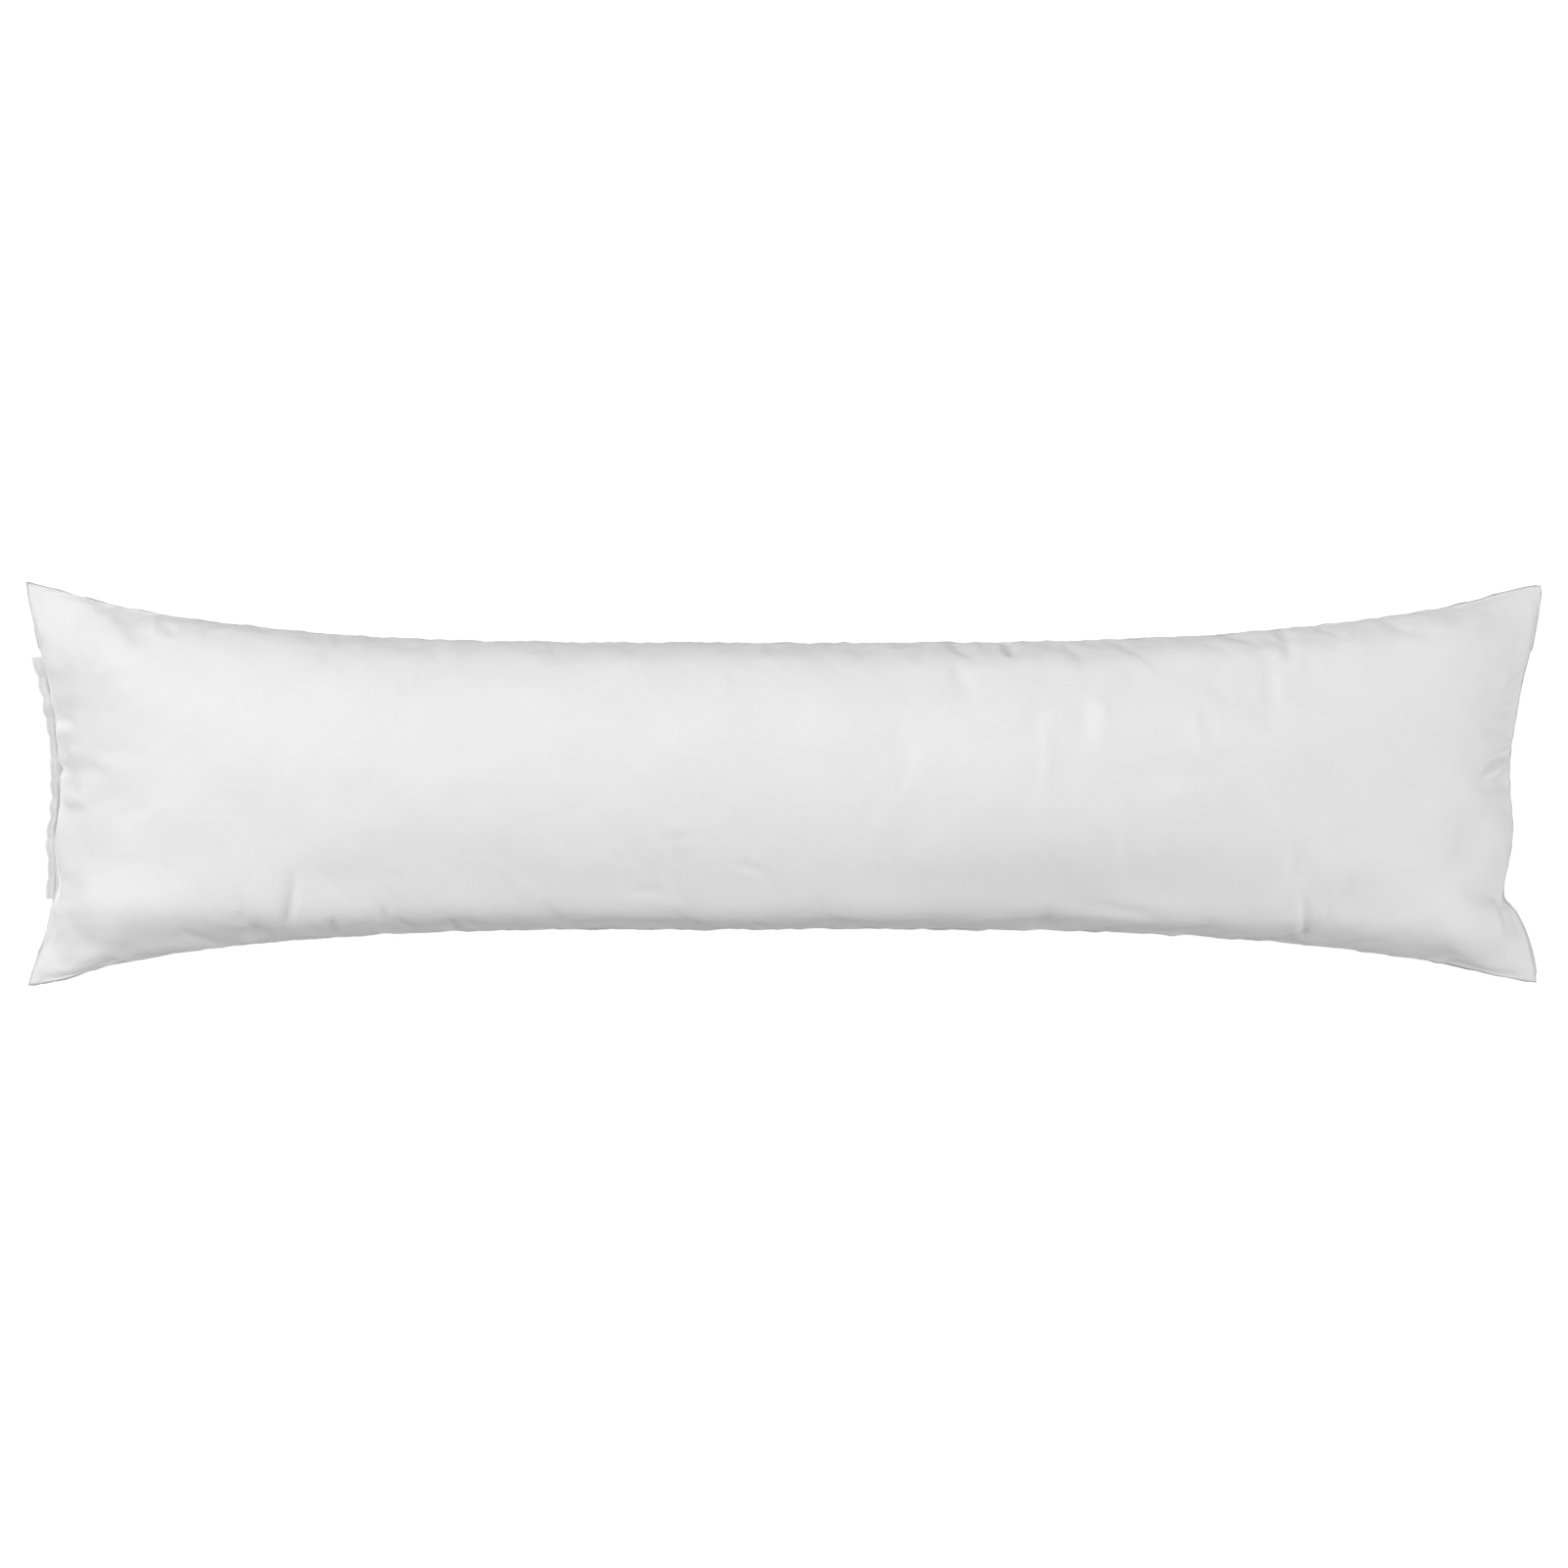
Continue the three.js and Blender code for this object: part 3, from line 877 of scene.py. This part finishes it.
def cloth(name):
    """White cloth whose weave follows the panels, with crumples that gather by the seams, and painted shade
    along the sewn edge.
    """
    material, tree, shader = principled(name)
    panel = tree.nodes.new("ShaderNodeUVMap")
    panel.uv_map = "panel"
    place = panel.outputs["UV"]
    seam = tree.nodes.new("ShaderNodeAttribute")
    seam.attribute_name = "near_seam"
    near = seam.outputs["Fac"]
    normal = bumped(tree, weave(tree, place), WEAVE_DEPTH)
    for crumple in FINE_CRUMPLES:
        height = placed_noise(tree, place, crumple.span, crumple.detail, crumple.seed)
        depth = mapped(tree, near, 0, 1, crumple.flat_depth, crumple.seam_depth)
        normal = bumped(tree, calculated(tree, "MULTIPLY", height, depth), 1, normal)
    tree.links.new(normal, shader.inputs["Normal"])
    # Painted shade: the base colour darkens along the sewn edge.
    shade = mapped(tree, near, SEAM_SHADE_FROM, 1, 1, 1 - SEAM_SHADE)
    tone = calculated(tree, "MULTIPLY", varied(tree, place, TONE), shade)
    grey = calculated(tree, "MULTIPLY", tone, ALBEDO)
    tree.links.new(grey_colour(tree, grey), shader.inputs["Base Color"])
    tree.links.new(varied(tree, place, WEAR), shader.inputs["Roughness"])
    shader.inputs["Specular IOR Level"].default_value = SPECULAR
    shader.inputs["Sheen Weight"].default_value = SHEEN
    shader.inputs["Sheen Roughness"].default_value = SHEEN_ROUGHNESS
    return material


def sewing_thread():
    """White polyester thread, with a fine twist."""
    material, tree, shader = principled("sewing_thread")
    place = tree.nodes.new("ShaderNodeTexCoord")
    twist = tree.nodes.new("ShaderNodeTexWave")
    twist.bands_direction = "DIAGONAL"
    twist.inputs["Scale"].default_value = THREAD_TWIST
    tree.links.new(place.outputs["Object"], twist.inputs["Vector"])
    bands = twist.outputs["Fac"]
    tree.links.new(bumped(tree, bands, TWIST_DEPTH), shader.inputs["Normal"])
    tone = mapped(tree, bands, 0, 1, *THREAD_TONES)
    tree.links.new(grey_colour(tree, tone), shader.inputs["Base Color"])
    shader.inputs["Roughness"].default_value = THREAD_ROUGHNESS
    return material


WHITE = (1, 1, 1, 1)
# The floor shines a little, so that it is nearly as white as the backdrop. Its half width is in metres.
FLOOR_REACH = 20
FLOOR_COLOUR = (0.9, 0.9, 0.9, 1)
FLOOR_ROUGHNESS = 0.9
FLOOR_GLOW = 0.55


def floor_paint():
    material, _, shader = principled("floor")
    shader.inputs["Base Color"].default_value = FLOOR_COLOUR
    shader.inputs["Roughness"].default_value = FLOOR_ROUGHNESS
    shader.inputs["Emission Color"].default_value = WHITE
    shader.inputs["Emission Strength"].default_value = FLOOR_GLOW
    return material


def build_stage():
    """A pale floor, which throws no light back on the cushion."""
    mesh = bpy.data.meshes.new("floor")
    corners = [(-1, -1, 0), (1, -1, 0), (1, 1, 0), (-1, 1, 0)]
    mesh.from_pydata([Vector(corner) * FLOOR_REACH for corner in corners], [], [(0, 1, 2, 3)])
    floor = new_object("floor", mesh)
    floor.data.materials.append(floor_paint())
    floor.visible_diffuse = False
    floor.visible_glossy = False


# The key light's direction from the object in degrees, and its distance, the height that it aims at and its
# side in metres.
KEY_AZIMUTH = 160
KEY_ELEVATION = 55
KEY_DISTANCE = 5
KEY_AIM = 0.1
KEY_SIDE = 2
KEY_POWER = 55
# Broad soft lights low on the dome round the cushion: from the right, from behind at the left, and weaker
# ones from the front left and from behind at the right. Each fades away from its middle by a power of the
# cosine.
Glow = namedtuple("Glow", "azimuth strength")
GLOWS = [Glow(-15, 2.64), Glow(135, 2.46), Glow(225, 1.0), Glow(45, 0.3)]
GLOW_POWER = 2
# Below the horizon the dome keeps this strength, and it blends over this height of a direction.
GROUND_STRENGTH = 0.13
HORIZON_BLEND = 0.1
BACKDROP_STRENGTH = 1


def build_key():
    """A soft square light from behind at the left."""
    azimuth, elevation = np.radians([KEY_AZIMUTH, KEY_ELEVATION])
    aside = KEY_DISTANCE * np.cos(elevation)
    place = Vector((aside * np.cos(azimuth), aside * np.sin(azimuth), KEY_DISTANCE * np.sin(elevation)))
    data = bpy.data.lights.new("key", "AREA")
    data.shape = "SQUARE"
    data.size = KEY_SIDE
    data.energy = KEY_POWER
    key = bpy.data.objects.new("key", data)
    key.location = place
    key.rotation_euler = (Vector((0, 0, KEY_AIM)) - place).to_track_quat("-Z", "Y").to_euler()
    bpy.context.scene.collection.objects.link(key)


def dome_strength(tree):
    """The glows' light in each direction of the dome, cut off at the horizon."""
    place = tree.nodes.new("ShaderNodeTexCoord").outputs["Generated"]
    total = 0
    for glow in GLOWS:
        azimuth = np.radians(glow.azimuth)
        towards = tree.nodes.new("ShaderNodeVectorMath")
        towards.operation = "DOT_PRODUCT"
        towards.inputs[1].default_value = (np.cos(azimuth), np.sin(azimuth), 0)
        tree.links.new(place, towards.inputs[0])
        facing = calculated(tree, "MAXIMUM", towards.outputs["Value"], 0)
        faded = calculated(tree, "POWER", facing, GLOW_POWER)
        total = calculated(tree, "MULTIPLY_ADD", faded, glow.strength, total)
    parts = tree.nodes.new("ShaderNodeSeparateXYZ")
    tree.links.new(place, parts.inputs[0])
    above = mapped(tree, parts.outputs["Z"], -HORIZON_BLEND, HORIZON_BLEND, 0, 1)
    lit = calculated(tree, "MULTIPLY", total, above)
    return calculated(tree, "MAXIMUM", lit, GROUND_STRENGTH)


def build_dome():
    """A world with the glows, which the camera itself sees as a plain backdrop."""
    world = bpy.data.worlds.new("studio")
    world.use_nodes = True
    tree = world.node_tree
    dome = tree.nodes["Background"]
    backdrop = tree.nodes.new("ShaderNodeBackground")
    for background in (dome, backdrop):
        background.inputs["Color"].default_value = WHITE
    tree.links.new(dome_strength(tree), dome.inputs["Strength"])
    backdrop.inputs["Strength"].default_value = BACKDROP_STRENGTH
    rays = tree.nodes.new("ShaderNodeLightPath")
    chosen = tree.nodes.new("ShaderNodeMixShader")
    tree.links.new(rays.outputs["Is Camera Ray"], chosen.inputs[0])
    tree.links.new(dome.outputs[0], chosen.inputs[1])
    tree.links.new(backdrop.outputs[0], chosen.inputs[2])
    tree.links.new(chosen.outputs[0], tree.nodes["World Output"].inputs["Surface"])
    bpy.context.scene.world = world


def build_camera():
    """Straight above, through a long lens, so far up that the photograph's frame spans its real length."""
    data = bpy.data.cameras.new("camera")
    data.lens = LENS
    data.sensor_width = SENSOR
    data.clip_end = FAR_CLIP
    camera = bpy.data.objects.new("camera", data)
    camera.location = (0, 0, (FRAME_HEIGHT + FRAME_SPAN * LENS / SENSOR) * MM)
    bpy.context.scene.collection.objects.link(camera)
    bpy.context.scene.camera = camera


def set_view():
    bpy.context.scene.view_settings.view_transform = "Standard"


build_camera()
build_casing()
build_strip()
build_stage()
build_key()
build_dome()
set_view()
